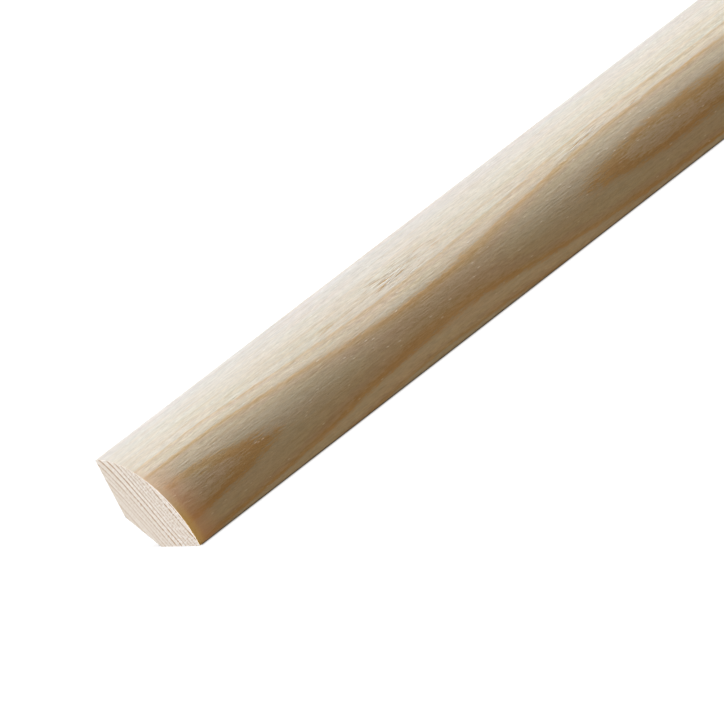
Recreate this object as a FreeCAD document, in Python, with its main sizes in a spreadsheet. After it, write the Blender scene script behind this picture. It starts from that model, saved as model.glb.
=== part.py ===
# Quarter round moulding: one length of planed softwood, sawn square at both ends.
#
# The section is a true quarter circle between two flat legs that stand at right angles, and
# its radius is the width of a leg. The back corner, which points into the joint that the
# moulding covers, is cut off at 45 degrees, so that the legs still seat against a corner with
# paint or sealant in it. The four long arrises are eased by a light sanding, and the sawn
# ends are left sharp.
#
# Frame, in millimetres: X runs along the length. One leg lies on the floor at Z = 0, the
# other stands at the +Y side, and the round faces -Y and up. The origin is the middle of the
# bounding box's underside, which lies on the floor leg.

import FreeCAD
import Part
import math
import os
import Sketcher

# Name, value and meaning of each driving dimension.
SIZES = [
    ("leg_width", 18.0, "each leg, from the uncut back corner to its outer edge"),
    ("corner_relief", 6.2, "taken off each leg where the back corner is cut away"),
    ("arris_radius", 0.3, "rounding of the four long arrises"),
    ("stock_length", 900.0, "length as sold"),
]
NODE = "quarter_round_moulding"
ON_LINE = 1e-4


def add_sizes(doc):
    """Puts the driving dimensions into a spreadsheet, one aliased cell each."""
    sheet = doc.addObject("Spreadsheet::Sheet", "Sizes")
    for row, (alias, value, meaning) in enumerate(SIZES, start=1):
        sheet.set(f"A{row}", alias)
        sheet.set(f"B{row}", str(value))
        sheet.set(f"C{row}", meaning)
        sheet.setAlias(f"B{row}", alias)
    doc.recompute()
    return sheet


def origin_plane(body, role):
    """One of the body's own origin planes."""
    return next(plane for plane in body.Origin.OriginFeatures if plane.Role == role)


def outline_points(sheet):
    """Corners of the section before its arrises are eased, as (Y, Z)."""
    half = sheet.leg_width / 2
    return {
        "toe": (-half, 0.0),
        "head": (half, sheet.leg_width),
        "wall_relief": (half, sheet.corner_relief),
        "floor_relief": (half - sheet.corner_relief, 0.0),
    }


def draw_section(body, sheet):
    """The section on the YZ plane, fully constrained and driven by the sheet."""
    sketch = body.newObject("Sketcher::SketchObject", "Section")
    sketch.AttachmentSupport = [(origin_plane(body, "YZ_Plane"), "")]
    sketch.MapMode = "FlatFace"
    at = {name: FreeCAD.Vector(y, z, 0) for name, (y, z) in outline_points(sheet).items()}

    def line(start, end):
        return sketch.addGeometry(Part.LineSegment(at[start], at[end]), False)

    def rule(*terms):
        return sketch.addConstraint(Sketcher.Constraint(*terms))

    def size(name, expression, *terms):
        index = rule(*terms, sketch.evalExpression(expression))
        sketch.renameConstraint(index, name)
        sketch.setExpression(f"Constraints.{name}", expression)

    back_corner = FreeCAD.Vector(at["head"].x, at["toe"].y, 0)
    circle = Part.Circle(back_corner, FreeCAD.Vector(0, 0, 1), at["head"].y)
    round_face = sketch.addGeometry(Part.ArcOfCircle(circle, math.pi / 2, math.pi), False)
    wall = line("head", "wall_relief")
    relief = line("wall_relief", "floor_relief")
    floor = line("floor_relief", "toe")

    start, end, centre, x_axis, sketch_origin = 1, 2, 3, -1, (-1, 1)
    rule("Coincident", floor, end, round_face, end)
    rule("Coincident", round_face, start, wall, start)
    rule("Coincident", wall, end, relief, start)
    rule("Coincident", relief, end, floor, start)
    rule("Horizontal", floor)
    rule("Vertical", wall)
    rule("PointOnObject", floor, end, x_axis)
    rule("PointOnObject", round_face, centre, x_axis)
    rule("Vertical", round_face, centre, wall, start)

    size("round_radius", "Sizes.leg_width", "Radius", round_face)
    size("half_width", "Sizes.leg_width / 2", "DistanceX", *sketch_origin, wall, start)
    size("relief_along", "Sizes.corner_relief", "DistanceX", relief, end, relief, start)
    size("relief_up", "Sizes.corner_relief", "DistanceY", relief, end, relief, start)
    return sketch


def long_edges_at(shape, points):
    """Names of the edges that run along X through the given (Y, Z) points."""
    names = []
    for y, z in points:
        for index, edge in enumerate(shape.Edges, start=1):
            ends = [vertex.Point for vertex in edge.Vertexes]
            if all(math.hypot(end.y - y, end.z - z) < ON_LINE for end in ends):
                names.append(f"Edge{index}")
    return names


def make_moulding(doc, sheet):
    """The length of moulding: its section run along X, then its arrises eased."""
    body = doc.addObject("PartDesign::Body", "Moulding")
    body.Label = NODE
    section = draw_section(body, sheet)
    doc.recompute()
    if section.solve() != 0 or not section.FullyConstrained:
        raise RuntimeError("the section isn't fully constrained")

    run = body.newObject("PartDesign::Pad", "Run")
    run.Profile = section
    run.setExpression("Length", "Sizes.stock_length")
    section.Visibility = False
    doc.recompute()

    points = outline_points(sheet)
    arrises = [points[name] for name in ("toe", "head", "wall_relief", "floor_relief")]
    edges = long_edges_at(run.Shape, arrises)
    if len(edges) != len(arrises):
        raise RuntimeError(f"{len(edges)} of {len(arrises)} arrises were found")
    eased = body.newObject("PartDesign::Fillet", "EasedArrises")
    eased.Base = (run, edges)
    eased.setExpression("Radius", "Sizes.arris_radius")
    body.setExpression("Placement.Base.x", "-Sizes.stock_length / 2")
    doc.recompute()
    return body


def check(doc, parts):
    """Stops the build if a feature failed or a part isn't one valid solid."""
    for thing in doc.Objects:
        if any(state in ("Invalid", "Error") for state in thing.State):
            raise RuntimeError(f"{thing.Label} failed: {thing.State}")
    for part in parts:
        shape = part.Shape
        if shape.isNull() or not shape.isValid() or len(shape.Solids) != 1:
            raise RuntimeError(f"{part.Label} isn't one valid solid")
        box = shape.BoundBox
        print(
            f"{part.Label}: {shape.Volume / 1000:.2f} cm3, {len(shape.Faces)} faces, "
            f"X {box.XMin:.2f} to {box.XMax:.2f}, Y {box.YMin:.2f} to {box.YMax:.2f}, "
            f"Z {box.ZMin:.2f} to {box.ZMax:.2f} mm"
        )


def main():
    doc = FreeCAD.newDocument("QuarterRoundMoulding")
    sheet = add_sizes(doc)
    parts = [make_moulding(doc, sheet)]
    check(doc, parts)
    os.makedirs("parts", exist_ok=True)
    for part in parts:
        part.Shape.exportStep(f"parts/{part.Label}.step")


main()
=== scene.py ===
import bpy
from math import atan2, cos, hypot, pi, radians, sin
from mathutils import Matrix, Quaternion, Vector


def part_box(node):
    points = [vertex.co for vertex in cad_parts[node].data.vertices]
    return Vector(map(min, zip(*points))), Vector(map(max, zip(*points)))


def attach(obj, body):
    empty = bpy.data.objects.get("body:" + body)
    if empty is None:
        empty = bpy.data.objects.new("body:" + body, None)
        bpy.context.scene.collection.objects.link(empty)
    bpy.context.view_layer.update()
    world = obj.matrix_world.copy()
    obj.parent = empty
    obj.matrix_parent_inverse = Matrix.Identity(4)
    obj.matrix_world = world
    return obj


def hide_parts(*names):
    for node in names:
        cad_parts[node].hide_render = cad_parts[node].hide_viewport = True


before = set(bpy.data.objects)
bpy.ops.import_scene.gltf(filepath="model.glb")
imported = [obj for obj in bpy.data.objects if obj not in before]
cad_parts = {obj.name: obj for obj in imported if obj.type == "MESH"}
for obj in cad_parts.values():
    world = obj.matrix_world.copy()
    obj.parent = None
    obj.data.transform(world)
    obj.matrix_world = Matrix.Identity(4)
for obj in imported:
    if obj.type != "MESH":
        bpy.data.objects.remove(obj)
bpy.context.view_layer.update()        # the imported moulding: one node, on the body "root"
nodeName = "quarter_round_moulding"
lowest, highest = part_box(nodeName)
nearEnd, farEnd = lowest.x, highest.x      # the photo shows the near end, at -X
backCorner = Vector((0.0, highest.y, lowest.z))      # where the legs would meet, uncut
mm = 0.001


def linearColour(hexCode):
    # "#E8DCC6" as Blender's linear RGBA
    parts = [int(hexCode[i:i + 2], 16) / 255 for i in (1, 3, 5)]
    return [c / 12.92 if c <= 0.04045 else ((c + 0.055) / 1.055) ** 2.4 for c in parts] + [1.0]


def addNode(tree, kind, settings=None, links=None):
    # settings are the node's own properties or its inputs' values, links are input: node or socket
    node = tree.nodes.new("ShaderNode" + kind)

    def openInput(name):
        if isinstance(name, int):
            return node.inputs[name]
        return next((s for s in node.inputs if s.name == name and s.enabled), None)

    for name, value in (settings or {}).items():
        if isinstance(name, str) and hasattr(node, name):
            setattr(node, name, value)
        else:
            openInput(name).default_value = value
    for name, source in (links or {}).items():
        if isinstance(source, bpy.types.Node):
            source = next(s for s in source.outputs if s.enabled)
        tree.links.new(source, openInput(name))
    return node


def setStops(ramp, stops, interpolation="LINEAR"):
    # stops are (place, colour or grey), from left to right
    ramp.color_ramp.interpolation = interpolation
    points = ramp.color_ramp.elements
    while len(points) < len(stops):
        points.new(1.0)
    for point, (place, value) in zip(points, stops):
        point.position = place
        point.color = value if isinstance(value, list) else [value, value, value, 1.0]


cover = {"data_type": "RGBA"}                                # for a Mix node that lays B over A
stain = {"data_type": "RGBA", "blend_type": "MULTIPLY"}      # for one that tints A with B


def newMaterial(name, look):
    material = bpy.data.materials.new(name)
    material.use_nodes = True
    shader = material.node_tree.nodes["Principled BSDF"]
    shader.inputs["Roughness"].default_value = look["roughness"]
    shader.inputs["Specular IOR Level"].default_value = look["specular"]
    return material, material.node_tree, shader


def finishMaterial(tree, shader, colour, height):
    # height is in mm
    bump = addNode(tree, "Bump", {"Strength": 1.0, "Distance": mm}, {"Height": height})
    tree.links.new(next(s for s in colour.outputs if s.enabled), shader.inputs["Base Color"])
    tree.links.new(bump.outputs[0], shader.inputs["Normal"])


# The moulding, cut from a round bar as the real one is from a board

section = {
    "leg": highest.z - lowest.z,
    "relief": 6.2 * mm,          # cut off each leg at the back corner
    "arris": 0.3 * mm,           # long edges, lightly sanded
    "arrisSteps": 4,
    "roundSteps": 48,            # facets of the quarter circle
    "sawnEdge": 0.08 * mm,       # rounding of the sawn ends' rim
    "sawnEdgeSteps": 2,
    "lengthSteps": 60,
    "smoothAngle": 20.0,         # degrees, edges sharper than this stay sharp
}
samePlace = 0.01 * mm            # points closer than this are one


def keepInside(point, outward):
    bpy.ops.mesh.select_all(action="SELECT")
    bpy.ops.mesh.bisect(plane_co=point, plane_no=outward, use_fill=True, clear_outer=True)


def selectEdges(obj, wanted):
    # wanted(a, b) says yes or no for an edge's two ends
    bpy.ops.mesh.select_all(action="DESELECT")
    bpy.ops.object.mode_set(mode="OBJECT")
    places = [v.co.copy() for v in obj.data.vertices]
    for edge in obj.data.edges:
        edge.select = wanted(places[edge.vertices[0]], places[edge.vertices[1]])
    bpy.ops.object.mode_set(mode="EDIT")


def runsLengthways(a, b):
    return abs(a.x - b.x) > 0.5 * (farEnd - nearEnd)


def alongAnArris(a, b):
    head, toe = (highest.y, highest.z), (lowest.y, lowest.z)
    wallRelief = (highest.y, lowest.z + section["relief"])
    floorRelief = (highest.y - section["relief"], lowest.z)
    return runsLengthways(a, b) and any(
        max(abs(p.y - y) + abs(p.z - z) for p in (a, b)) < samePlace
        for y, z in (head, toe, wallRelief, floorRelief))


def onAnEnd(a, b):
    return abs(a.x - b.x) < samePlace


def modelMoulding():
    bpy.ops.object.select_all(action="DESELECT")
    bpy.ops.mesh.primitive_cylinder_add(
        vertices=4 * section["roundSteps"], radius=section["leg"], depth=farEnd - nearEnd,
        end_fill_type="NGON", location=((nearEnd + farEnd) / 2, backCorner.y, backCorner.z),
        rotation=(0, radians(90), 0))
    moulding = bpy.context.object
    moulding.name = moulding.data.name = "moulding"
    bpy.ops.object.transform_apply(location=True, rotation=True, scale=True)

    bpy.ops.object.mode_set(mode="EDIT")
    bpy.ops.mesh.select_mode(type="EDGE")
    keepInside(backCorner, (0, 1, 0))
    keepInside(backCorner, (0, 0, -1))
    keepInside((0, highest.y, lowest.z + section["relief"]), (0, 1, -1))
    selectEdges(moulding, alongAnArris)
    bpy.ops.mesh.bevel(offset=section["arris"], segments=section["arrisSteps"], affect="EDGES")
    selectEdges(moulding, onAnEnd)
    bpy.ops.mesh.bevel(offset=section["sawnEdge"], segments=section["sawnEdgeSteps"],
                       affect="EDGES")
    selectEdges(moulding, runsLengthways)
    bpy.ops.mesh.subdivide(number_cuts=section["lengthSteps"] - 1)
    bpy.ops.mesh.select_all(action="SELECT")
    bpy.ops.mesh.normals_make_consistent(inside=False)
    bpy.ops.object.mode_set(mode="OBJECT")
    bpy.ops.object.shade_smooth_by_angle(angle=radians(section["smoothAngle"]))
    print("moulding modelled:", len(moulding.data.polygons), "faces")
    return moulding


# Torn grain: fibres that the planer lifted, each a low ridge with its steep side down the face

splinters = {
    "width": 0.40 * mm,
    "proud": 0.036 * mm,         # how high a crest stands
    "sunk": 0.05 * mm,           # how deep its underside sits in the wood
    "lean": -0.35,               # share of the half width that the crest is pushed down the face
    "steps": 6,                  # pieces along one splinter
    "tip": 0.05,                 # size at its very end, as a share of its middle
    "fullness": 0.7,             # lower is blunter
    "places": [
        # mm along, degrees round from the top, mm long, degrees of slant, times as proud
        (64.6, 35.2, 4.6, 7.0, 1.2), (67.2, 30.2, 6.4, -1.0, 1.0), (65.9, 33.6, 4.8, 11.0, 1.1),
        (70.2, 28.6, 4.0, -4.0, 0.9), (68.9, 39.0, 2.4, 3.0, 1.0), (61.9, 28.1, 3.0, -5.0, 0.8),
        (67.7, 35.3, 2.0, 4.0, 0.8), (71.4, 32.0, 3.6, 3.0, 0.7), (76.7, 29.8, 1.4, -8.0, 0.7),
        (63.0, 31.8, 3.4, 2.0, 0.6), (112.6, 38.6, 8.8, 8.5, 0.9), (117.8, 35.8, 3.6, 5.0, 0.9),
        (117.3, 38.4, 3.6, 5.0, 1.0), (111.4, 40.0, 2.6, 0.0, 0.8), (127.6, 39.6, 1.6, 1.0, 0.8),
        (347.0, 44.0, 5.2, 6.0, 1.0), (351.5, 46.5, 3.8, 3.0, 1.2), (355.0, 43.0, 4.4, 9.0, 0.9),
        (651.0, 29.0, 4.2, -4.0, 1.0), (655.5, 31.5, 6.0, -7.0, 1.1), (660.0, 28.0, 3.0, -2.0, 0.8),
    ],
}


def modelSplinter():
    # a three-sided bar 1 m long, drawn to a point at each end, its crest pushed over down the face
    steps = splinters["steps"]
    near = 0.01                  # ends closer than this to a place are on it
    bpy.ops.object.select_all(action="DESELECT")
    bpy.ops.mesh.primitive_cylinder_add(vertices=3, radius=1.0, depth=1.0, end_fill_type="NGON",
                                        rotation=(radians(-30), radians(90), 0))
    splinter = bpy.context.object
    bpy.ops.object.transform_apply(location=True, rotation=True, scale=True)
    crest = max(v.co.z for v in splinter.data.vertices)
    foot = min(v.co.z for v in splinter.data.vertices)
    bpy.ops.object.mode_set(mode="EDIT")
    bpy.ops.mesh.select_mode(type="EDGE")
    selectEdges(splinter, lambda a, b: abs(a.x - b.x) > 0.5)
    bpy.ops.mesh.subdivide(number_cuts=steps - 1)
    selectEdges(splinter, lambda a, b: min(a.z, b.z) > crest - near)
    bpy.ops.transform.translate(value=(0, splinters["lean"], 0))
    for step in range(steps + 1):
        x = step / steps - 0.5
        taper = max(splinters["tip"], sin(pi * step / steps)) ** splinters["fullness"]
        selectEdges(splinter, lambda a, b: max(abs(a.x - x), abs(b.x - x)) < near)
        bpy.ops.transform.resize(value=(1, taper, taper), center_override=(x, 0, foot))
    bpy.ops.mesh.select_all(action="SELECT")
    bpy.ops.mesh.normals_make_consistent(inside=False)
    bpy.ops.transform.translate(value=(0, 0, -foot))
    bpy.ops.transform.resize(value=(1, 1, 1 / (crest - foot)), center_override=(0, 0, 0))
    bpy.ops.object.mode_set(mode="OBJECT")
    return splinter


def liftGrain():
    first = modelSplinter()
    fibres = []
    for along, degrees, length, slant, prouder in splinters["places"]:
        fibre = first.copy()
        fibre.data = first.data.copy()
        bpy.context.scene.collection.objects.link(fibre)
        turn = Matrix.Rotation(radians(degrees), 4, "X")
        seat = turn @ Vector((0, 0, section["leg"] - splinters["sunk"]))
        place = backCorner + seat + Vector((nearEnd + along * mm, 0, 0))
        height = splinters["sunk"] + splinters["proud"] * prouder
        size = Matrix.Diagonal((length * mm, splinters["width"] / 2, height, 1))
        slanted = Matrix.Rotation(radians(slant), 4, "Z")
        fibre.matrix_world = Matrix.Translation(place) @ turn @ slanted @ size
        fibres.append(fibre)
    bpy.ops.object.select_all(action="DESELECT")
    first.select_set(True)
    bpy.ops.object.delete()
    for fibre in fibres:
        fibre.select_set(True)
    bpy.context.view_layer.objects.active = fibres[0]
    bpy.ops.object.transform_apply(location=True, rotation=True, scale=True)
    print("lifted fibres modelled:", len(fibres))
    return fibres


def isSawn(face):
    fromEnd = min(face.center.x - nearEnd, farEnd - face.center.x)
    return abs(face.normal.x) > 0.9 and fromEnd < 0.25 * section["sawnEdge"]


bakeMap = {
    # shares of the square
    "planed": 0.86,              # height of the planed faces, which go round from the top arris
    "endsUp": 0.87,              # where the sawn ends start above them
    "endsAlong": (0.02, 0.17),   # where the near end and the far end start from the left
    "endSize": 0.12,
}


def layOutMap(obj):
    # for baking: along the moulding and up round its section, with both sawn ends above that
    layer = obj.data.uv_layers.new(name="OFBake")
    leg, arris = section["leg"], section["arris"]
    quarter = leg * pi / 2
    share = bakeMap["planed"] / (quarter + 2 * (leg - arris))
    endShare = bakeMap["endSize"] / leg
    for face in obj.data.polygons:
        onRound = hypot(highest.y - face.center.y, face.center.z - lowest.z) > leg - arris
        for corner in face.loop_indices:
            x, y, z = obj.data.vertices[obj.data.loops[corner].vertex_index].co
            back, up = highest.y - y, z - lowest.z
            around = leg * atan2(back, up) if onRound else quarter + leg - up + back - arris
            spot = ((x - nearEnd) / (farEnd - nearEnd), share * around)
            if isSawn(face):
                spot = (bakeMap["endsAlong"][x > 0] + endShare * back,
                        bakeMap["endsUp"] + endShare * up)
            layer.data[corner].uv = spot
    print("bake map laid out")


# Pine as one solid: growth rings in three dimensions, so that a ring's line on a planed face
# runs on over the arris and meets its own line on the sawn end. Lengths here are in mm.

growth = {
    "pithAway": 126.0,           # from the uncut back corner, out behind the moulding
    "pithBelow": 26.0,           # degrees that the pith lies below the floor leg's line
    "dipCentre": 64.8,           # from the near end, where the board's rings dip deepest
    "dipLength": 128.0,
    "dipDepth": 1.064,
    "slope": 0.0012,             # the rings' steady run-out, mm per mm
    "bend": (0.0948, -0.0096, 0.3689),   # rings inside the section: lean, bow and spread
    "bendCentre": (8.0, 8.5),    # out and up from the uncut back corner
    "wander": 1.6,               # slower drift of the rings, farther along
    "wanderLength": 90.0,
    "wanderFrom": (160.0, 300.0),        # from the near end, where it starts and where it is full
    "ripple": 0.22,              # unevenness of a ring along and across
    "rippleSize": (30.0, 5.0),   # a size here is the length and the width of one step
    "fray": 0.06,                # long fibres that break up a ring's line
    "fraySize": (8.0, 0.25),
    "fleck": 0.2,                # pores do so too, on planed faces
    "sawnFleck": 0.03,           # and on sawn ends
    "poreSize": (1.8, 0.3125),   # coarser than real pores, which a photo can't show
    "faintest": 0.7,             # a ring's line comes and goes down to this share
    "faintSize": (25.0, 3.0),
    "lead": 0.14,                # share of a ring by which its strength starts before its line
}

rings = [
    # where a ring's dark line starts, then how strong it is on a planed face and on a sawn end
    (0.4, 0.15, 0.20), (1.88, 0.20, 0.30), (4.28, 0.20, 0.25), (5.52, 0.25, 0.50),
    (6.84, 0.20, 0.30), (8.04, 0.16, 0.55), (9.72, 0.12, 0.90), (11.48, 0.09, 1.00),
    (12.84, 0.10, 0.85), (13.92, 0.11, 0.60), (14.80, 0.20, 0.50), (15.60, 0.75, 0.45),
    (16.57, 0.90, 1.00), (17.66, 1.00, 0.90), (18.40, 0.80, 0.60), (19.50, 0.80, 0.60),
]
ringReach = 20.5                 # the ramps' right end


def alongGrain(size):
    # scale of a pattern whose step is so long along the grain and so wide across it, in mm
    length, width = size
    return (1 / length, 1 / width, 1 / width)


def bowRings(tree, across, radius):
    # inside the section the rings lean and bow a little, fading out at the round face
    lean, bow, spread = growth["bend"]
    outBy, upBy = growth["bendCentre"]
    up = addNode(tree, "Math", {"operation": "SUBTRACT", 1: backCorner.z / mm + upBy},
                 {0: across.outputs[2]})
    bend = addNode(tree, "Math", {"operation": "MULTIPLY_ADD", 1: bow, 2: lean}, {0: up})
    bend = addNode(tree, "Math", {"operation": "MULTIPLY"}, {0: bend, 1: up})
    outwards = addNode(tree, "Math", {"operation": "MULTIPLY_ADD", 1: -spread,
                                      2: spread * (backCorner.y / mm - outBy)},
                       {0: across.outputs[1]})
    bend = addNode(tree, "Math", {"operation": "ADD"}, {0: bend, 1: outwards})
    inside = addNode(tree, "Math", {"operation": "MULTIPLY", 1: mm / section["leg"]}, {0: radius})
    inside = addNode(tree, "Math", {"operation": "MULTIPLY"}, {0: inside, 1: inside})
    inside = addNode(tree, "Math", {"operation": "SUBTRACT", 0: 1.0}, {1: inside})
    return addNode(tree, "Math", {"operation": "MULTIPLY"}, {0: bend, 1: inside})


def bendAlong(tree, along):
    # along the board the rings dip once, run out slowly and, farther on, wander
    half, dipDepth, wander = growth["dipLength"] / 2, growth["dipDepth"], growth["wander"]
    turn = addNode(tree, "Math", {"operation": "SUBTRACT", 1: growth["dipCentre"]}, {0: along})
    turn = addNode(tree, "MapRange", {"From Min": -half, "From Max": half, "To Min": -pi,
                                      "To Max": pi}, {0: turn})
    dip = addNode(tree, "Math", {"operation": "COSINE"}, {0: turn})
    dip = addNode(tree, "Math", {"operation": "MULTIPLY_ADD", 1: -dipDepth / 2,
                                 2: -dipDepth / 2}, {0: dip})
    runOut = addNode(tree, "Math", {"operation": "MULTIPLY", 1: -growth["slope"]}, {0: along})
    drift = addNode(tree, "TexNoise", {"noise_dimensions": "1D", "Detail": 1.0,
                                       "Scale": 1 / growth["wanderLength"]}, {"W": along})
    drift = addNode(tree, "MapRange", {"From Min": 0.25, "From Max": 0.75, "clamp": False,
                                       "To Min": -wander, "To Max": wander}, {0: drift})
    start, full = growth["wanderFrom"]
    farther = addNode(tree, "MapRange", {"interpolation_type": "SMOOTHSTEP", "From Min": start,
                                         "From Max": full}, {0: along})
    drift = addNode(tree, "Math", {"operation": "MULTIPLY"}, {0: drift, 1: farther})
    return [dip, runOut, drift]


def growRings(tree, fleckSize):
    # where in the pine a point lies: its depth in the rings, and how far through its own ring
    place = addNode(tree, "VectorMath", {"operation": "SCALE", "Scale": 1 / mm},
                    {0: addNode(tree, "TexCoord").outputs["Object"]})
    across = addNode(tree, "SeparateXYZ", {}, {0: place})
    along = addNode(tree, "Math", {"operation": "SUBTRACT", 1: nearEnd / mm}, {0: across.outputs[0]})
    corner = backCorner / mm
    flat = addNode(tree, "VectorMath", {"operation": "MULTIPLY", 1: (0, 1, 1)}, {0: place})
    radius = addNode(tree, "VectorMath", {"operation": "DISTANCE", 1: corner}, {0: flat})
    radius = radius.outputs["Value"]

    changes = bendAlong(tree, along)
    for size, detail, roughness, most in (("rippleSize", 2.0, 0.5, growth["ripple"]),
                                          ("fraySize", 3.0, 0.5, growth["fray"]),
                                          ("poreSize", 3.0, 0.7, fleckSize)):
        drawnOut = addNode(tree, "VectorMath", {"operation": "MULTIPLY",
                                                1: alongGrain(growth[size])}, {0: place})
        noise = addNode(tree, "TexNoise", {"Scale": 1.0, "Detail": detail,
                                           "Roughness": roughness}, {"Vector": drawnOut})
        changes.append(addNode(tree, "Math", {"operation": "MULTIPLY_ADD", 1: 2 * most,
                                              2: -most}, {0: noise}))
    pores = noise                # the last of the three
    changes.append(bowRings(tree, across, radius))

    tilt = radians(growth["pithBelow"])
    pith = corner + growth["pithAway"] * Vector((0, cos(tilt), -sin(tilt)))
    fromPith = addNode(tree, "VectorMath", {"operation": "DISTANCE", 1: pith}, {0: flat})
    fromPith = fromPith.outputs["Value"]
    depth = addNode(tree, "Math", {"operation": "SUBTRACT", 1: growth["pithAway"]}, {0: fromPith})
    for change in changes:
        depth = addNode(tree, "Math", {"operation": "ADD"}, {0: depth, 1: change})
    depth = addNode(tree, "Math", {"operation": "DIVIDE", 1: ringReach}, {0: depth})

    count = addNode(tree, "ValToRGB", {}, {0: depth})
    starts = [(ring[0] / ringReach, i / len(rings)) for i, ring in enumerate(rings)]
    setStops(count, starts + [(1.0, 1.0)])
    count = addNode(tree, "Math", {"operation": "MULTIPLY", 1: float(len(rings))}, {0: count})
    through = addNode(tree, "Math", {"operation": "FRACT"}, {0: count})

    # the round face laid out flat: mm along, mm round from the top arris, mm from the back corner
    aside = addNode(tree, "Math", {"operation": "SUBTRACT", 0: corner.y}, {1: across.outputs[1]})
    angle = addNode(tree, "Math", {"operation": "ARCTAN2"}, {0: aside, 1: across.outputs[2]})
    arc = addNode(tree, "Math", {"operation": "MULTIPLY", 1: section["leg"] / mm}, {0: angle})
    rolled = addNode(tree, "CombineXYZ", {}, {0: along, 1: arc, 2: radius})
    return {"place": place, "across": across, "depth": depth, "through": through, "pores": pores,
            "rolled": rolled, "arc": arc, "radius": radius, "pith": pith, "fromPith": fromPith}


def ringStrength(tree, wood, column):
    # each ring's own strength: column 1 on planed faces, 2 on sawn ends, changing in the pale wood
    strength = addNode(tree, "ValToRGB", {}, {0: wood["depth"]})
    starts = [ring[0] for ring in rings]
    changes = [0.0] + [b - growth["lead"] * (b - a) for a, b in zip(starts, starts[1:])]
    setStops(strength, [(change / ringReach, ring[column]) for change, ring in zip(changes, rings)],
             "CONSTANT")
    slow = addNode(tree, "VectorMath", {"operation": "MULTIPLY", 1: alongGrain(growth["faintSize"])},
                   {0: wood["place"]})
    patchy = addNode(tree, "TexNoise", {"Scale": 1.0, "Detail": 2.0}, {"Vector": slow})
    patchy = addNode(tree, "MapRange", {"From Min": 0.3, "From Max": 0.6,
                                        "To Min": growth["faintest"]}, {0: patchy})
    return addNode(tree, "Math", {"operation": "MULTIPLY"}, {0: strength, 1: patchy})


planed = {
    "roughness": 0.6,
    "specular": 0.3,
    # through one ring
    "core": "#E9CB9E",           # late wood
    "glow": "#EAD4B4",           # late wood, fading into its own ring
    "tan": "#EBD7C2",
    "plain": "#F4E9D3",
    "pale": "#F1E8D8",           # early wood, just outside the next ring's line
    # laid over the rings, by their depth in the board, which grows from the top of the round face
    # downwards: darkest and a little cool at the inner rings near the top, lightest from 15.6 to 16.35
    # mm, a little darker again past 17 mm
    "innerWood": "#E8E5EA",
    "middleWood": "#F7F4F1",
    "untinted": "#FFFFFF",
    "palestWood": "#FFFBF4",
    "outerWood": "#E9E4D9",
    "lastWood": "#E9E7E0",
    "foot": "#EBEDED",           # painted shade: the lower part of the round face is a little darker
    "lateShadeTint": "#F9EEDC",       # and its late wood more orange, painted shade too
    "lowShadeArc": (14.0, 19.0),     # an arc is in mm round from the top arris: its start and its full
    # fibres, with sizes in mm along and across
    "fibre": "#DCC48A",
    "fibreTone": 0.36,           # how far the darkest fibre takes that colour
    "fibreSize": (11.0, 1 / 2.6),        # about 0.4 mm apart, and up to 20 mm long
    "pinker": "#FFFCFA",
    "greener": "#FDFEFC",
    "hueSize": (14.0, 2.5),
    "poreTone": (0.87, 1.12),    # how dark and how pale the pores make the wood
    "speckSpacing": (3.6, 0.9),
    "speckSize": (0.13, 0.07),   # a speck's rim and its core, as shares of that
    "speckTone": 0.55,
    # a strip of the round face where the planer cut against the grain and left it rougher
    "roughStrip": 12.0,          # its middle, mm round from the top arris
    "roughWidth": (7.5, 1.5),    # mm to either side: outside it, and in its full roughness
    "roughTimes": (0.8, 1.1),
    # torn grain
    "tearSize": (5.0, 0.34),
    # painted shade in the slits
    "slitShade": "#CFA05A",
    # painted highlight on lifted fibres, crests and specks
    "paintedHighlight": "#FAF3E2",
    "liftedHighlightTone": 0.6,
    "fibreFootShade": "#B28A52",      # painted shade where a lifted fibre leaves the face
    "fibreFootShadeTone": 0.55,
    "fibreFootShadeHeight": (0.03, 0.01),     # mm past the round face: its end and its full
    "crestHighlightTone": 0.5,
    "crestHeight": (0.01, 0.035),
    "proudFrom": 0.001,          # less than this is the round face itself
    # towards a sawn end, in mm
    "sawnRim": "#FFE2BC",        # painted light: the glow of light that the sawn end lets into the round face
    "goldenRim": "#FFDC90",      # and more so lower down
    "goldenArc": (17.0, 24.0),
    "sawnRimWidth": 2.4,
    "sawnRimTone": 1.0,
    "warmEnd": "#FFC79E",        # a weaker painted glow that goes in farther
    "warmEndWidth": 8.0,
    "warmEndTone": 0.55,
    "rimArc": (8.0, 19.0),
    "snipe": 2.2,                # where the planer dips
}

ringTones = [
    # how far through a ring, and its colour there
    (0.0, "core"), (0.09, "core"), (0.17, "glow"), (0.28, "tan"), (0.42, "plain"),
    (0.74, "pale"), (0.86, "pale"), (0.96, "glow"), (1.0, "core"),
]

zoneTones = [
    # depth in the rings, in mm, and the colour laid over them there
    (10.2, "innerWood"), (14.4, "middleWood"), (15.6, "untinted"), (16.0, "palestWood"),
    (16.35, "palestWood"), (17.0, "outerWood"), (17.6, "outerWood"), (17.9, "lastWood"),
]

relief = {
    # mm that each stands proud of a planed face, or lies below it
    "streaks": 0.055, "pores": 0.09, "late": 0.006, "specks": 0.03,
    "lifted": 0.025, "slits": -0.015, "snipe": -1.2,
}

tornPatches = [
    # mm along, mm round from the top arris, half length, half width, strength
    (68.0, 10.2, 14.0, 3.2, 1.0), (114.5, 12.0, 11.0, 1.4, 0.9), (46.0, 10.8, 12.0, 1.6, 0.4),
    (128.0, 12.5, 4.0, 0.7, 0.7), (352.0, 14.0, 14.0, 2.0, 0.9), (655.0, 9.5, 12.0, 2.2, 0.9),
]


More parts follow.
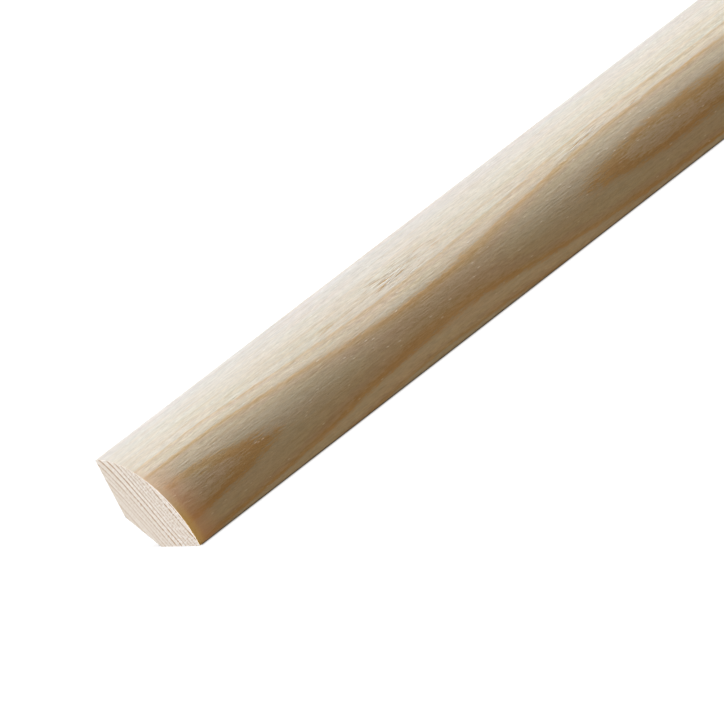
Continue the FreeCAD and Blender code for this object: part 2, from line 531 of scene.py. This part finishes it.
def colourRings(tree, wood, tone):
    # returns the colour, and where late wood is
    ring = addNode(tree, "ValToRGB", {}, {0: wood["through"]})
    setStops(ring, [(through, tone[name]) for through, name in ringTones])
    strength = ringStrength(tree, wood, 1)
    colour = addNode(tree, "Mix", {**cover, "A": tone["plain"]}, {"Factor": strength, "B": ring})
    zone = addNode(tree, "ValToRGB", {}, {0: wood["depth"]})
    setStops(zone, [(depth / ringReach, tone[name]) for depth, name in zoneTones])
    colour = addNode(tree, "Mix", {**stain, "Factor": 1.0}, {"A": colour, "B": zone})
    # painted shade: the lower part of the round face is made darker, and its late wood more orange
    start, full = planed["lowShadeArc"]
    low = addNode(tree, "MapRange", {"interpolation_type": "SMOOTHSTEP", "From Min": start,
                                     "From Max": full}, {0: wood["arc"]})
    colour = addNode(tree, "Mix", {**stain, "B": tone["foot"]}, {"Factor": low, "A": colour})
    late = addNode(tree, "ValToRGB", {}, {0: wood["through"]})
    setStops(late, [(0.0, 1.0), (0.07, 1.0), (0.2, 0.3), (0.5, 0.0), (0.9, 0.0), (1.0, 1.0)])
    late = addNode(tree, "Math", {"operation": "MULTIPLY"}, {0: late, 1: strength})
    lateLow = addNode(tree, "Math", {"operation": "MULTIPLY"}, {0: late, 1: low})
    colour = addNode(tree, "Mix", {**stain, "B": tone["lateShadeTint"]}, {"Factor": lateLow, "A": colour})
    return colour, late


def drawFibres(tree, wood, tone, colour, rough):
    # long fibres with finer ones between them, hues, pores and specks; returns colour and relief
    drawnOut = addNode(tree, "VectorMath", {"operation": "MULTIPLY",
                                            1: alongGrain(planed["fibreSize"])}, {0: wood["place"]})
    streaks = addNode(tree, "TexNoise", {"Scale": 1.0, "Detail": 4.0, "Roughness": 0.8},
                      {"Vector": drawnOut})
    lines = addNode(tree, "MapRange", {"From Min": 0.56, "From Max": 0.32,
                                       "To Max": planed["fibreTone"]}, {0: streaks})
    lines = addNode(tree, "Math", {"operation": "MULTIPLY"}, {0: lines, 1: rough})
    colour = addNode(tree, "Mix", {**stain, "B": tone["fibre"]}, {"Factor": lines, "A": colour})

    # wood is never one hue: slow changes from pinker to greener
    broad = addNode(tree, "VectorMath", {"operation": "MULTIPLY", 1: alongGrain(planed["hueSize"])},
                    {0: wood["place"]})
    hue = addNode(tree, "TexNoise", {"Scale": 1.0, "Detail": 1.0}, {"Vector": broad})
    hue = addNode(tree, "ValToRGB", {}, {0: hue})
    setStops(hue, [(0.35, tone["pinker"]), (0.65, tone["greener"])])
    colour = addNode(tree, "Mix", {**stain, "Factor": 1.0}, {"A": colour, "B": hue})
    darkest, palest = planed["poreTone"]
    poreTone = addNode(tree, "MapRange", {"From Min": 0.3, "From Max": 0.7, "To Min": darkest,
                                          "To Max": palest}, {0: wood["pores"]})
    colour = addNode(tree, "VectorMath", {"operation": "SCALE"}, {0: colour, "Scale": poreTone})

    # specks: short resin ducts that catch the light, painted as pale highlights
    cells = addNode(tree, "VectorMath", {"operation": "MULTIPLY",
                                         1: alongGrain(planed["speckSpacing"])},
                    {0: wood["place"]})
    ducts = addNode(tree, "TexVoronoi", {"Scale": 1.0}, {"Vector": cells})
    rim, core = planed["speckSize"]
    specks = addNode(tree, "MapRange", {"From Min": rim, "From Max": core},
                     {0: ducts.outputs["Distance"]})
    shown = addNode(tree, "Math", {"operation": "MULTIPLY", 1: planed["speckTone"]}, {0: specks})
    colour = addNode(tree, "Mix", {**cover, "B": tone["paintedHighlight"]}, {"Factor": shown, "A": colour})
    return colour, streaks, specks


def tearGrain(tree, wood, tone, colour):
    # slits and lifted fibres, in patches, with painted shade in the slits and a painted highlight on
    # the lifted fibres; returns colour and relief
    leg = section["leg"] / mm
    patches = None
    for x, around, halfLength, halfWidth, amount in tornPatches:
        away = addNode(tree, "VectorMath", {"operation": "SUBTRACT", 1: (x, around, leg)},
                       {0: wood["rolled"]})
        away = addNode(tree, "VectorMath", {"operation": "MULTIPLY",
                                            1: (1 / halfLength, 1 / halfWidth, 0.5)}, {0: away})
        away = addNode(tree, "VectorMath", {"operation": "LENGTH"}, {0: away}).outputs["Value"]
        patch = addNode(tree, "MapRange", {"interpolation_type": "SMOOTHSTEP", "From Min": 1.0,
                                           "From Max": 0.2, "To Max": amount}, {0: away})
        patches = patch if patches is None else addNode(tree, "Math", {"operation": "MAXIMUM"},
                                                        {0: patches, 1: patch})
    length, width = planed["tearSize"]
    tears = addNode(tree, "VectorMath", {"operation": "MULTIPLY", 1: (1 / length, 1 / width, 0.0)},
                    {0: wood["rolled"]})
    tears = addNode(tree, "TexNoise", {"Scale": 1.0, "Detail": 2.0, "Distortion": 0.1},
                    {"Vector": tears})
    slits = addNode(tree, "MapRange", {"From Min": 0.42, "From Max": 0.36}, {0: tears})
    slits = addNode(tree, "Math", {"operation": "MULTIPLY"}, {0: slits, 1: patches})
    lifted = addNode(tree, "MapRange", {"From Min": 0.5, "From Max": 0.62}, {0: tears})
    lifted = addNode(tree, "Math", {"operation": "MULTIPLY"}, {0: lifted, 1: patches})
    shown = addNode(tree, "Math", {"operation": "MULTIPLY", 1: planed["liftedHighlightTone"]}, {0: lifted})
    # painted highlight: the lifted fibres made pale
    colour = addNode(tree, "Mix", {**cover, "B": tone["paintedHighlight"]}, {"Factor": shown, "A": colour})
    # painted shade: ochre in the slits
    colour = addNode(tree, "Mix", {**cover, "B": tone["slitShade"]}, {"Factor": slits, "A": colour})

    # the modelled fibres stand past the round face: painted shade, ochre, at the foot, and a painted
    # highlight, pale, at the crest
    past = addNode(tree, "Math", {"operation": "SUBTRACT", 1: leg}, {0: wood["radius"]})
    start, full = planed["fibreFootShadeHeight"]
    foot = addNode(tree, "MapRange", {"From Min": start, "From Max": full,
                                      "To Max": planed["fibreFootShadeTone"]}, {0: past})
    proud = addNode(tree, "Math", {"operation": "GREATER_THAN", 1: planed["proudFrom"]}, {0: past})
    foot = addNode(tree, "Math", {"operation": "MULTIPLY"}, {0: foot, 1: proud})
    start, full = planed["crestHeight"]
    crest = addNode(tree, "MapRange", {"From Min": start, "From Max": full,
                                       "To Max": planed["crestHighlightTone"]}, {0: past})
    colour = addNode(tree, "Mix", {**cover, "B": tone["fibreFootShade"]}, {"Factor": foot, "A": colour})
    colour = addNode(tree, "Mix", {**cover, "B": tone["paintedHighlight"]}, {"Factor": crest, "A": colour})
    return colour, slits, lifted


def paintEndGlow(tree, wood, tone, colour):
    # painted light: a warm glow a little way in from a sawn end, golden at its rim; returns colour and
    # relief
    end = farEnd / mm
    toEnd = addNode(tree, "Math", {"operation": "ABSOLUTE"}, {0: wood["across"].outputs[0]})
    start, full = planed["rimArc"]
    below = addNode(tree, "MapRange", {"interpolation_type": "SMOOTHSTEP", "From Min": start,
                                       "From Max": full}, {0: wood["arc"]})
    start, full = planed["goldenArc"]
    lower = addNode(tree, "MapRange", {"interpolation_type": "SMOOTHSTEP", "From Min": start,
                                       "From Max": full}, {0: wood["arc"]})
    golden = addNode(tree, "Mix", {**cover, "A": tone["sawnRim"], "B": tone["goldenRim"]},
                     {"Factor": lower})
    warm = addNode(tree, "RGB")
    warm.outputs[0].default_value = tone["warmEnd"]
    for name, tint in (("warmEnd", warm), ("sawnRim", golden)):
        glow = addNode(tree, "MapRange", {"interpolation_type": "SMOOTHSTEP",
                                          "From Min": end - planed[name + "Width"],
                                          "From Max": end, "To Max": planed[name + "Tone"]},
                       {0: toEnd})
        glow = addNode(tree, "Math", {"operation": "MULTIPLY"}, {0: glow, 1: below})
        colour = addNode(tree, "Mix", cover, {"Factor": glow, "A": colour, "B": tint})
    snipe = addNode(tree, "MapRange", {"interpolation_type": "SMOOTHERSTEP",
                                       "From Min": end - planed["snipe"],
                                       "From Max": end + planed["snipe"]}, {0: toEnd})
    snipe = addNode(tree, "Math", {"operation": "MULTIPLY"}, {0: snipe, 1: below})
    return colour, snipe


def planedPine():
    # planed pine, bare: cream early wood with honey-coloured late wood, matt, silky along the grain
    material, tree, shader = newMaterial("pine, planed", planed)
    wood = growRings(tree, growth["fleck"])
    tone = {name: linearColour(value) for name, value in planed.items() if isinstance(value, str)}
    rough = addNode(tree, "Math", {"operation": "SUBTRACT", 1: planed["roughStrip"]}, {0: wood["arc"]})
    rough = addNode(tree, "Math", {"operation": "ABSOLUTE"}, {0: rough})
    (outside, full), (least, most) = planed["roughWidth"], planed["roughTimes"]
    rough = addNode(tree, "MapRange", {"interpolation_type": "SMOOTHSTEP", "From Min": outside,
                                       "From Max": full, "To Min": least, "To Max": most}, {0: rough})
    colour, late = colourRings(tree, wood, tone)
    colour, streaks, specks = drawFibres(tree, wood, tone, colour, rough)
    colour, slits, lifted = tearGrain(tree, wood, tone, colour)
    colour, snipe = paintEndGlow(tree, wood, tone, colour)

    height = addNode(tree, "Math", {"operation": "MULTIPLY", 1: relief["streaks"]}, {0: streaks})
    height = addNode(tree, "Math", {"operation": "MULTIPLY_ADD", 1: relief["pores"]},
                     {0: wood["pores"], 2: height})
    height = addNode(tree, "Math", {"operation": "MULTIPLY"}, {0: height, 1: rough})
    for name, source in (("late", late), ("specks", specks), ("lifted", lifted), ("slits", slits),
                         ("snipe", snipe)):
        height = addNode(tree, "Math", {"operation": "MULTIPLY_ADD", 1: relief[name]},
                         {0: source, 2: height})
    finishMaterial(tree, shader, colour, height)
    print("planed pine mixed:", len(tree.nodes), "nodes")
    return material


sawn = {
    "plain": "#E6DAC5",
    "line": "#AE8755",
    # pale rays, also used for the painted highlights
    "rayAndHighlight": "#FFF9EC",
    "roughness": 0.85,
    "specular": 0.15,
    "tickWidth": 0.24,           # mm, one saw tick or bundle of rays to the next
    "tickLength": 1.1,
    "tickDepth": 0.02,
    "lateProud": 0.015,
    "rayTone": 0.7,
    "pitTone": 0.25,
    "fewest": 0.4,               # share of rays and pits that the inner wood shows
    "outerWood": (5.0, 12.0),    # depth in the rings over which they become more
    "edgeHighlight": 0.26,            # mm, a painted highlight just inside the round edge
    "edgeHighlightArc": (9.0, 14.0),  # it shows on the lower two thirds
}


def sawnPine():
    # pine across the grain, fine-sawn: dull and fuzzy, with thin ring lines and rays across them, and
    # painted highlights beside the lines and inside the round edge
    material, tree, shader = newMaterial("pine, sawn end", sawn)
    wood = growRings(tree, growth["sawnFleck"])
    plain, line, rayAndHighlight = (linearColour(sawn[name]) for name in ("plain", "line", "rayAndHighlight"))

    strength = ringStrength(tree, wood, 2)
    late = addNode(tree, "ValToRGB", {}, {0: wood["through"]})
    setStops(late, [(0.0, 0.8), (0.08, 1.0), (0.18, 0.7), (0.3, 0.0), (0.88, 0.0), (1.0, 0.8)])
    late = addNode(tree, "Math", {"operation": "MULTIPLY"}, {0: late, 1: strength})
    # painted highlight: a pale band beside each ring's dark line, where a lit ridge of the ring would
    # show
    ringHighlight = addNode(tree, "ValToRGB", {}, {0: wood["through"]})
    setStops(ringHighlight, [(0.27, 0.0), (0.35, 0.9), (0.5, 0.3), (0.7, 0.3), (0.82, 0.9), (0.88, 0.0)])
    ringHighlight = addNode(tree, "Math", {"operation": "MULTIPLY"}, {0: ringHighlight, 1: strength})
    colour = addNode(tree, "Mix", {**cover, "A": plain, "B": line}, {"Factor": late})
    colour = addNode(tree, "Mix", {**cover, "B": rayAndHighlight}, {"Factor": ringHighlight, "A": colour})

    # rays and saw ticks run across the rings, towards the pith
    y = addNode(tree, "Math", {"operation": "SUBTRACT", 0: wood["pith"].y},
                {1: wood["across"].outputs[1]})
    z = addNode(tree, "Math", {"operation": "SUBTRACT", 1: wood["pith"].z},
                {0: wood["across"].outputs[2]})
    bearing = addNode(tree, "Math", {"operation": "ARCTAN2"}, {0: z, 1: y})
    bearing = addNode(tree, "Math", {"operation": "MULTIPLY",
                                     1: growth["pithAway"] / sawn["tickWidth"]}, {0: bearing})
    outwards = addNode(tree, "Math", {"operation": "DIVIDE", 1: sawn["tickLength"]},
                       {0: wood["fromPith"]})
    fan = addNode(tree, "CombineXYZ", {}, {0: bearing, 1: outwards})
    ticks = addNode(tree, "TexNoise", {"Scale": 1.0, "Detail": 3.0, "Roughness": 0.6},
                    {"Vector": fan})
    start, full = sawn["outerWood"]
    outer = addNode(tree, "MapRange", {"From Min": start / ringReach, "From Max": full / ringReach,
                                       "To Min": sawn["fewest"]}, {0: wood["depth"]})
    rays = addNode(tree, "MapRange", {"From Min": 0.5, "From Max": 0.64,
                                      "To Max": sawn["rayTone"]}, {0: ticks})
    pits = addNode(tree, "MapRange", {"From Min": 0.48, "From Max": 0.34,
                                      "To Max": sawn["pitTone"]}, {0: ticks})
    for marks, tint in ((rays, rayAndHighlight), (pits, line)):
        marks = addNode(tree, "Math", {"operation": "MULTIPLY"}, {0: marks, 1: outer})
        colour = addNode(tree, "Mix", {**cover, "B": tint}, {"Factor": marks, "A": colour})

    # a painted highlight: a pale line inside the round edge
    face = section["leg"] / mm
    edge = addNode(tree, "MapRange", {"From Min": face - sawn["edgeHighlight"],
                                      "From Max": face - 0.7 * sawn["edgeHighlight"]},
                   {0: wood["radius"]})
    start, full = sawn["edgeHighlightArc"]
    below = addNode(tree, "MapRange", {"From Min": start, "From Max": full}, {0: wood["arc"]})
    edge = addNode(tree, "Math", {"operation": "MULTIPLY"}, {0: edge, 1: below})
    colour = addNode(tree, "Mix", {**cover, "B": rayAndHighlight}, {"Factor": edge, "A": colour})

    height = addNode(tree, "Math", {"operation": "MULTIPLY", 1: sawn["tickDepth"]}, {0: ticks})
    height = addNode(tree, "Math", {"operation": "MULTIPLY_ADD", 1: sawn["lateProud"]},
                     {0: late, 2: height})
    finishMaterial(tree, shader, colour, height)
    print("sawn pine mixed:", len(tree.nodes), "nodes")
    return material


# Floor, lamps and camera

studio = {
    "floorSize": 8.0,
    "floorShown": 0.92,          # the part of the floor's white that no shadow takes
    "paper": 0.2,                # how much the floor shows of light and shadow
    "floorColour": "#5A4A3A",    # what the floor gives back to the moulding
    "contact": 1.2 * mm,         # width of the painted contact shadow, a dark line where the moulding meets the floor
    "contactTone": (0.35, 0.85),         # how open the floor is where it turns black and white
    "contactStart": (1.0 * mm, 0.1 * mm),        # in from the near end: full, and its start
    "skyStrength": 0.02,
    "skyColour": "#FFF0DC",
}


def seenByEye(tree):
    # yes for what the camera sees, by itself or in a shine: there floor and sky are plain white
    path = addNode(tree, "LightPath")
    seen = addNode(tree, "Math", {"operation": "MAXIMUM"},
                   {0: path.outputs["Is Camera Ray"], 1: path.outputs["Is Glossy Ray"]})
    return addNode(tree, "Math", {"operation": "MAXIMUM"},
                   {0: seen, 1: path.outputs["Is Transmission Ray"]})


def layFloor():
    # white paper, with a painted contact shadow: a dark line, from ambient occlusion, where the
    # moulding stands on it
    bpy.ops.object.select_all(action="DESELECT")
    bpy.ops.mesh.primitive_plane_add(size=studio["floorSize"], location=(0, 0, lowest.z))
    floor = bpy.context.object
    floor.name = floor.data.name = "floor"
    material = bpy.data.materials.new("paper, pale")
    material.use_nodes = True
    tree = material.node_tree
    tree.nodes.remove(tree.nodes["Principled BSDF"])
    # painted shadow: ambient occlusion darkens the floor's white where the moulding stands on it,
    # except in front of the near end
    contact = addNode(tree, "AmbientOcclusion", {"Distance": studio["contact"], "samples": 16})
    spot = addNode(tree, "SeparateXYZ", {}, {0: addNode(tree, "TexCoord").outputs["Object"]})
    full, start = studio["contactStart"]
    before = addNode(tree, "MapRange", {"From Min": nearEnd + full, "From Max": nearEnd + start},
                     {0: spot.outputs[0]})
    lit = addNode(tree, "Math", {"operation": "MAXIMUM"}, {0: contact.outputs["AO"], 1: before})
    closed, clear = studio["contactTone"]
    lit = addNode(tree, "MapRange", {"From Min": closed, "From Max": clear,
                                     "To Max": studio["floorShown"]}, {0: lit})
    white = addNode(tree, "Emission", {"Color": (1, 1, 1, 1)}, {"Strength": lit})
    paper = addNode(tree, "BsdfDiffuse", {"Color": (*[studio["paper"]] * 3, 1)})
    shown = addNode(tree, "AddShader", {}, {0: white, 1: paper})
    hidden = addNode(tree, "BsdfDiffuse", {"Color": linearColour(studio["floorColour"])})
    mixed = addNode(tree, "MixShader", {}, {0: seenByEye(tree), 1: hidden, 2: shown})
    tree.links.new(mixed.outputs[0], tree.nodes["Material Output"].inputs["Surface"])
    floor.data.materials.append(material)
    print("floor laid")


lamps = {
    # name: place, what it points at, size, watts, colour
    "softboxAbove": ((-0.2, 1.125, 2.790), (-0.2, 0, 0.01), 0.75, 126.0, "#DCEBFF"),
    "fillFront": ((-0.2, -2.718, 1.280), (-0.2, 0, 0.01), 1.8, 24.3, "#FFDFAF"),
    "fillBack": ((0.0, 2.0, 0.15), (0, 0, 0.01), 0.8, 22.0, "#FFF2E0"),
    "softboxLeft": ((-3.45, 0.0, 0.12), (-0.45, 0, 0.01), 0.3, 96.0, "#F2F4FF"),
    "softboxRight": ((3.45, 0.0, 0.12), (0.45, 0, 0.01), 0.3, 80.0, "#EEF2FF"),
}


def hangLamps():
    for name, (place, target, size, watts, colour) in lamps.items():
        data = bpy.data.lights.new(name, "AREA")
        data.shape, data.size, data.energy = "SQUARE", size, watts
        data.color = linearColour(colour)[:3]
        lamp = bpy.data.objects.new(name, data)
        bpy.context.scene.collection.objects.link(lamp)
        lamp.location = place
        lamp.rotation_euler = (Vector(target) - Vector(place)).to_track_quat("-Z", "Y").to_euler()
    print("lamps hung:", len(lamps))


def paintSky():
    world = bpy.data.worlds.new("studio")
    world.use_nodes = True
    tree = world.node_tree
    glow = tree.nodes["Background"]
    glow.inputs["Color"].default_value = linearColour(studio["skyColour"])
    glow.inputs["Strength"].default_value = studio["skyStrength"]
    white = addNode(tree, "Background", {"Color": (1, 1, 1, 1), "Strength": 1.0})
    mixed = addNode(tree, "MixShader", {}, {0: seenByEye(tree), 1: glow, 2: white})
    tree.links.new(mixed.outputs[0], tree.nodes["World Output"].inputs["Surface"])
    bpy.context.scene.world = world
    print("sky painted")


shot = {
    "fromNearEnd": (-0.8190, -1.3784, 0.4971),   # camera's place, measured from the near end
    "azimuth": -32.30,
    "elevation": 16.78,
    "roll": -27.33,
    "lens": 480.6,
}


def setCamera():
    data = bpy.data.cameras.new("camera")
    data.lens, data.sensor_width = shot["lens"], 36.0
    data.clip_start, data.clip_end = 0.1, 20.0
    camera = bpy.data.objects.new("camera", data)
    bpy.context.scene.collection.objects.link(camera)
    camera.location = Vector((nearEnd, 0, 0)) + Vector(shot["fromNearEnd"])
    azimuth, elevation = radians(shot["azimuth"]), radians(shot["elevation"])
    ahead = Vector((-sin(azimuth) * cos(elevation), cos(azimuth) * cos(elevation), -sin(elevation)))
    level = ahead.to_track_quat("-Z", "Y")
    camera.rotation_mode = "QUATERNION"
    camera.rotation_quaternion = level @ Quaternion((0, 0, 1), radians(shot["roll"]))
    bpy.context.scene.camera = camera
    print("camera set")


moulding = modelMoulding()
liftedFibres = liftGrain()
bpy.ops.object.select_all(action="DESELECT")
for obj in liftedFibres + [moulding]:
    obj.select_set(True)
bpy.context.view_layer.objects.active = moulding
bpy.ops.object.join()
layOutMap(moulding)
moulding.data.materials.append(planedPine())
moulding.data.materials.append(sawnPine())
for face in moulding.data.polygons:
    face.material_index = 1 if isSawn(face) else 0
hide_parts(nodeName)
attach(moulding, "root")
layFloor()
hangLamps()
paintSky()
setCamera()
bpy.context.scene.view_settings.view_transform = "Standard"
